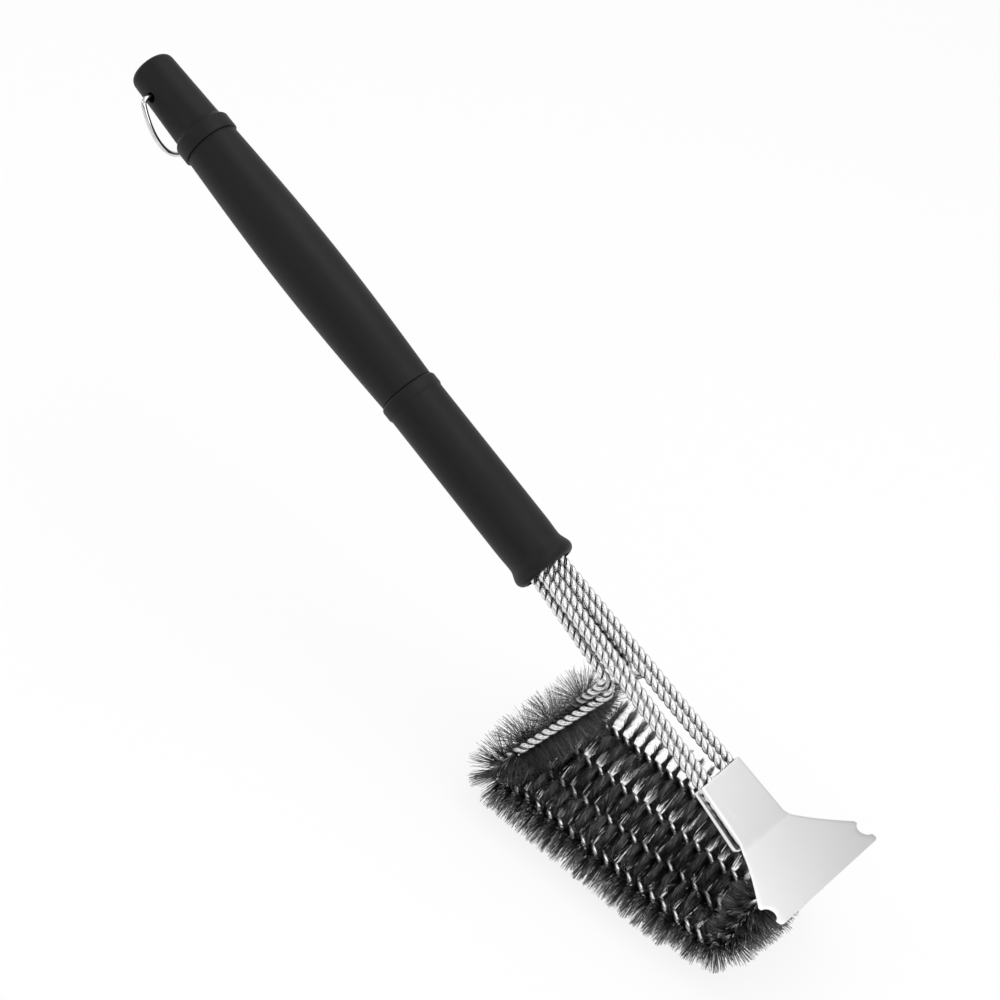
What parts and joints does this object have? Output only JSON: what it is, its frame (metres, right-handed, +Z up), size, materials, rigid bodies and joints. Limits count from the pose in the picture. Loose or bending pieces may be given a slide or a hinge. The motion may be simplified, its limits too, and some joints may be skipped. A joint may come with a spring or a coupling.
{
  "type": "grill cleaning brush",
  "caption": "Long-handled wire grill brush: looped twisted-wire bristle rows under straight wire stems, a bent sheet-steel scraper at the front and a hang ring in the handle's end cap.",
  "frame": {"origin": "on the ground under the middle of the brush's box, as it stands on its bristles", "axes": "+X towards the scraper along the bristle rows, +Z up, Y across with the middle plane at Y = 0"},
  "size_m": [0.4344, 0.085, 0.2162],
  "materials": {
    "black_plastic": "satin",
    "bright_wire": "polished",
    "ring_steel": "polished",
    "sheet_steel": "satin",
    "bristle_steel": "satin"
  },
  "bodies": {
    "brush": {"end_cap": "black_plastic", "grip": "black_plastic", "front_sleeve": "black_plastic", "stem_anchor": "black_plastic", "scraper": "sheet_steel", "upper_stem_1": "bright_wire", "upper_stem_2": "bright_wire", "upper_stem_3": "bright_wire", "upper_stem_4": "bright_wire", "lower_stem_1": "bright_wire", "lower_stem_2": "bright_wire", "lower_stem_3": "bright_wire", "lower_stem_4": "bright_wire", "bristle_leg_1": "bristle_steel", "bristle_leg_2": "bristle_steel", "bristle_leg_3": "bristle_steel", "bristle_leg_4": "bristle_steel", "bristle_row_1": "bristle_steel", "bristle_row_2": "bristle_steel", "bristle_row_3": "bristle_steel", "bristle_row_4": "bristle_steel", "bristle_nose_1": "bristle_steel", "bristle_nose_2": "bristle_steel", "bristle_nose_3": "bristle_steel", "bristle_nose_4": "bristle_steel"},
    "ring": {"hang_ring": "ring_steel"}
  },
  "joints": [
    {"name": "hang_ring_swing", "type": "hinge", "parent": "brush", "child": "ring", "pos_m": [-0.20087, 0, 0.20263], "axis": [0, 1, 0], "range_deg": [-8, 288]}
  ]
}
